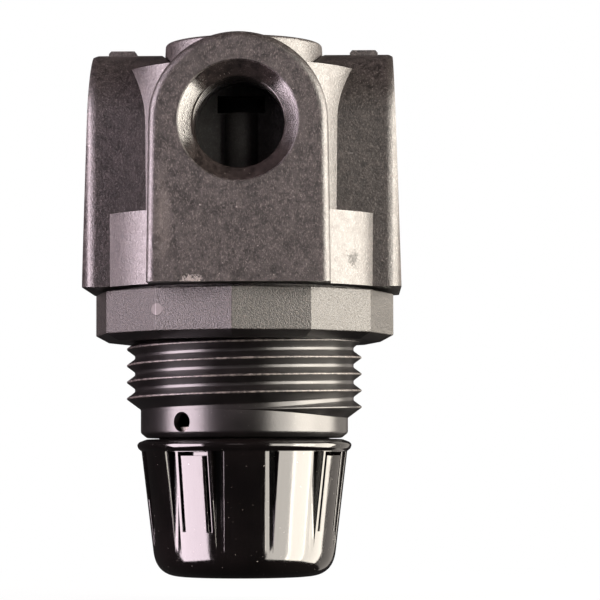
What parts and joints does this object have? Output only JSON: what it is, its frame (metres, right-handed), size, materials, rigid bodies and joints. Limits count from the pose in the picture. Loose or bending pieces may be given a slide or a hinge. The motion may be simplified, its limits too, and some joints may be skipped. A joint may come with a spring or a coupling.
{
  "type": "low pressure regulator",
  "caption": "Small in-line pressure regulator: arched port body, twelve-sided ring, panel-mounting thread and a fluted locking adjusting knob.",
  "frame": {"origin": "on the knob's axis, in the plane of the ring's underside, where the bonnet's ring seats on a panel", "axes": "+Z along the axis from the knob to the bottom plug, -Y out of the inlet port, +Y out of the outlet port, X through the two gauge ports"},
  "size_m": [0.0402, 0.0408, 0.0684],
  "materials": {
    "body_casting": "satin",
    "bonnet": "satin",
    "knob": "gloss",
    "bottom_plug": "satin",
    "plated_steel": "satin",
    "spring_steel": "satin",
    "white_acetal": "satin",
    "yellow_brass": "satin",
    "nitrile_rubber": "matte",
    "sheet_aluminium": "satin",
    "plug_steel": "satin"
  },
  "bodies": {
    "regulator_body": {"body_casting": "body_casting", "bonnet": "bonnet", "bottom_plug": "bottom_plug", "plug_o_ring": "nitrile_rubber", "stem_o_ring": "nitrile_rubber", "siphon_tube": "yellow_brass", "valve_seat": "yellow_brass", "slip_ring": "white_acetal", "thrust_washer": "white_acetal", "gauge_plug_left": "plug_steel", "gauge_plug_right": "plug_steel"},
    "screw": {"adjusting_screw": "plated_steel", "screw_retaining_ring": "spring_steel"},
    "knob": {"knob": "knob"},
    "nut": {"spring_nut": "yellow_brass", "regulating_spring": "spring_steel"},
    "diaphragm_group": {"diaphragm": "nitrile_rubber", "diaphragm_plate": "sheet_aluminium", "relief_stud": "yellow_brass"},
    "valve": {"valve_poppet": "yellow_brass", "valve_seal": "nitrile_rubber", "valve_spring": "spring_steel"}
  },
  "joints": [
    {"name": "knob_turn", "type": "hinge", "parent": "regulator_body", "child": "screw", "pos_m": [0, 0, 0], "axis": [0, 0, 1], "range_deg": [0, 1562]},
    {"name": "knob_unlock", "type": "slide", "parent": "screw", "child": "knob", "axis": [0, 0, -1], "range_m": [0, 0.0025]},
    {"name": "nut_travel", "type": "slide", "parent": "regulator_body", "child": "nut", "axis": [0, 0, 1], "range_m": [0, 0.0065], "deforming": ["regulating_spring"]},
    {"name": "diaphragm_lift", "type": "slide", "parent": "regulator_body", "child": "diaphragm_group", "axis": [0, 0, 1], "range_m": [0, 0.0008], "stiffness_N_per_m": 2000, "deforming": ["diaphragm"]},
    {"name": "valve_lift", "type": "slide", "parent": "regulator_body", "child": "valve", "axis": [0, 0, 1], "range_m": [0, 0.00082], "deforming": ["valve_spring"]}
  ],
  "couplings": [
    {"joint": "knob_turn", "follows": "nut_travel", "rad_per_m": 4188.8},
    {"joint": "valve_lift", "follows": "diaphragm_lift", "ratio": 1}
  ]
}
